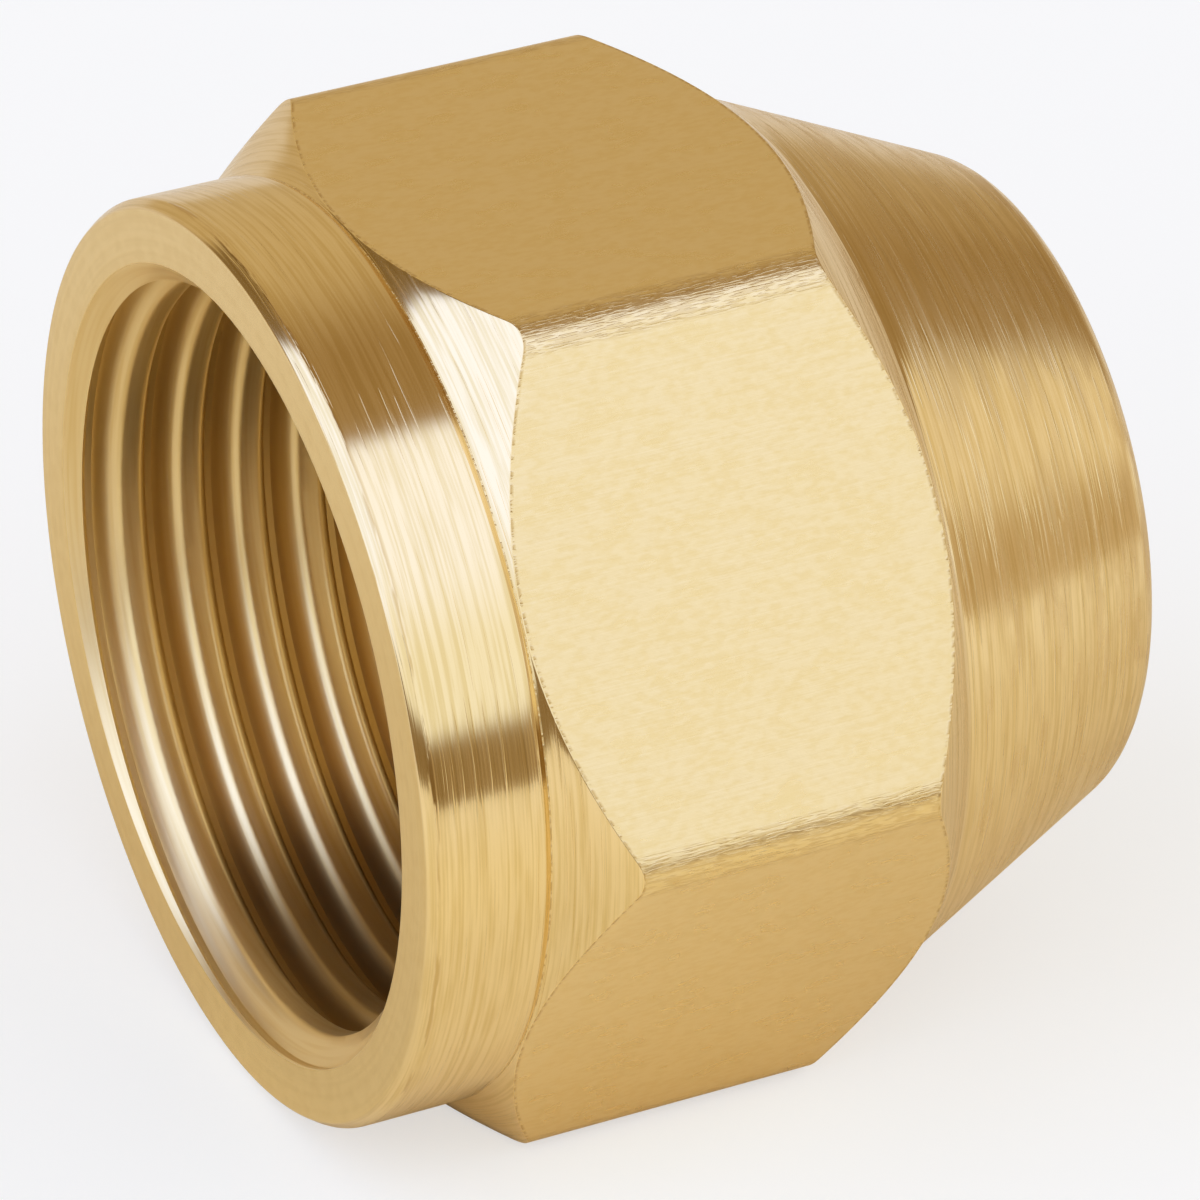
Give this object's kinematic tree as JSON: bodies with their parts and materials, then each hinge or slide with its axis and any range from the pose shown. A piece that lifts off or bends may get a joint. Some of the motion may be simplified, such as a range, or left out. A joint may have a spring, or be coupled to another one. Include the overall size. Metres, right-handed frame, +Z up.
{
  "type": "reducing flare nut",
  "caption": "Hexagonal brass nut with a threaded flare socket at one end and a coned nose that narrows to a smaller tube bore.",
  "frame": {"origin": "on the surface the nut lies on, below the middle of its length and of its axis", "axes": "+X along the axis from the open socket to the nose, +Z up, square to the flat it lies on"},
  "size_m": [0.0236, 0.029, 0.0256],
  "materials": {
    "brass": "drawn bar with fine turning marks"
  },
  "bodies": {
    "root": {"flare_nut": "brass"}
  },
  "joints": []
}
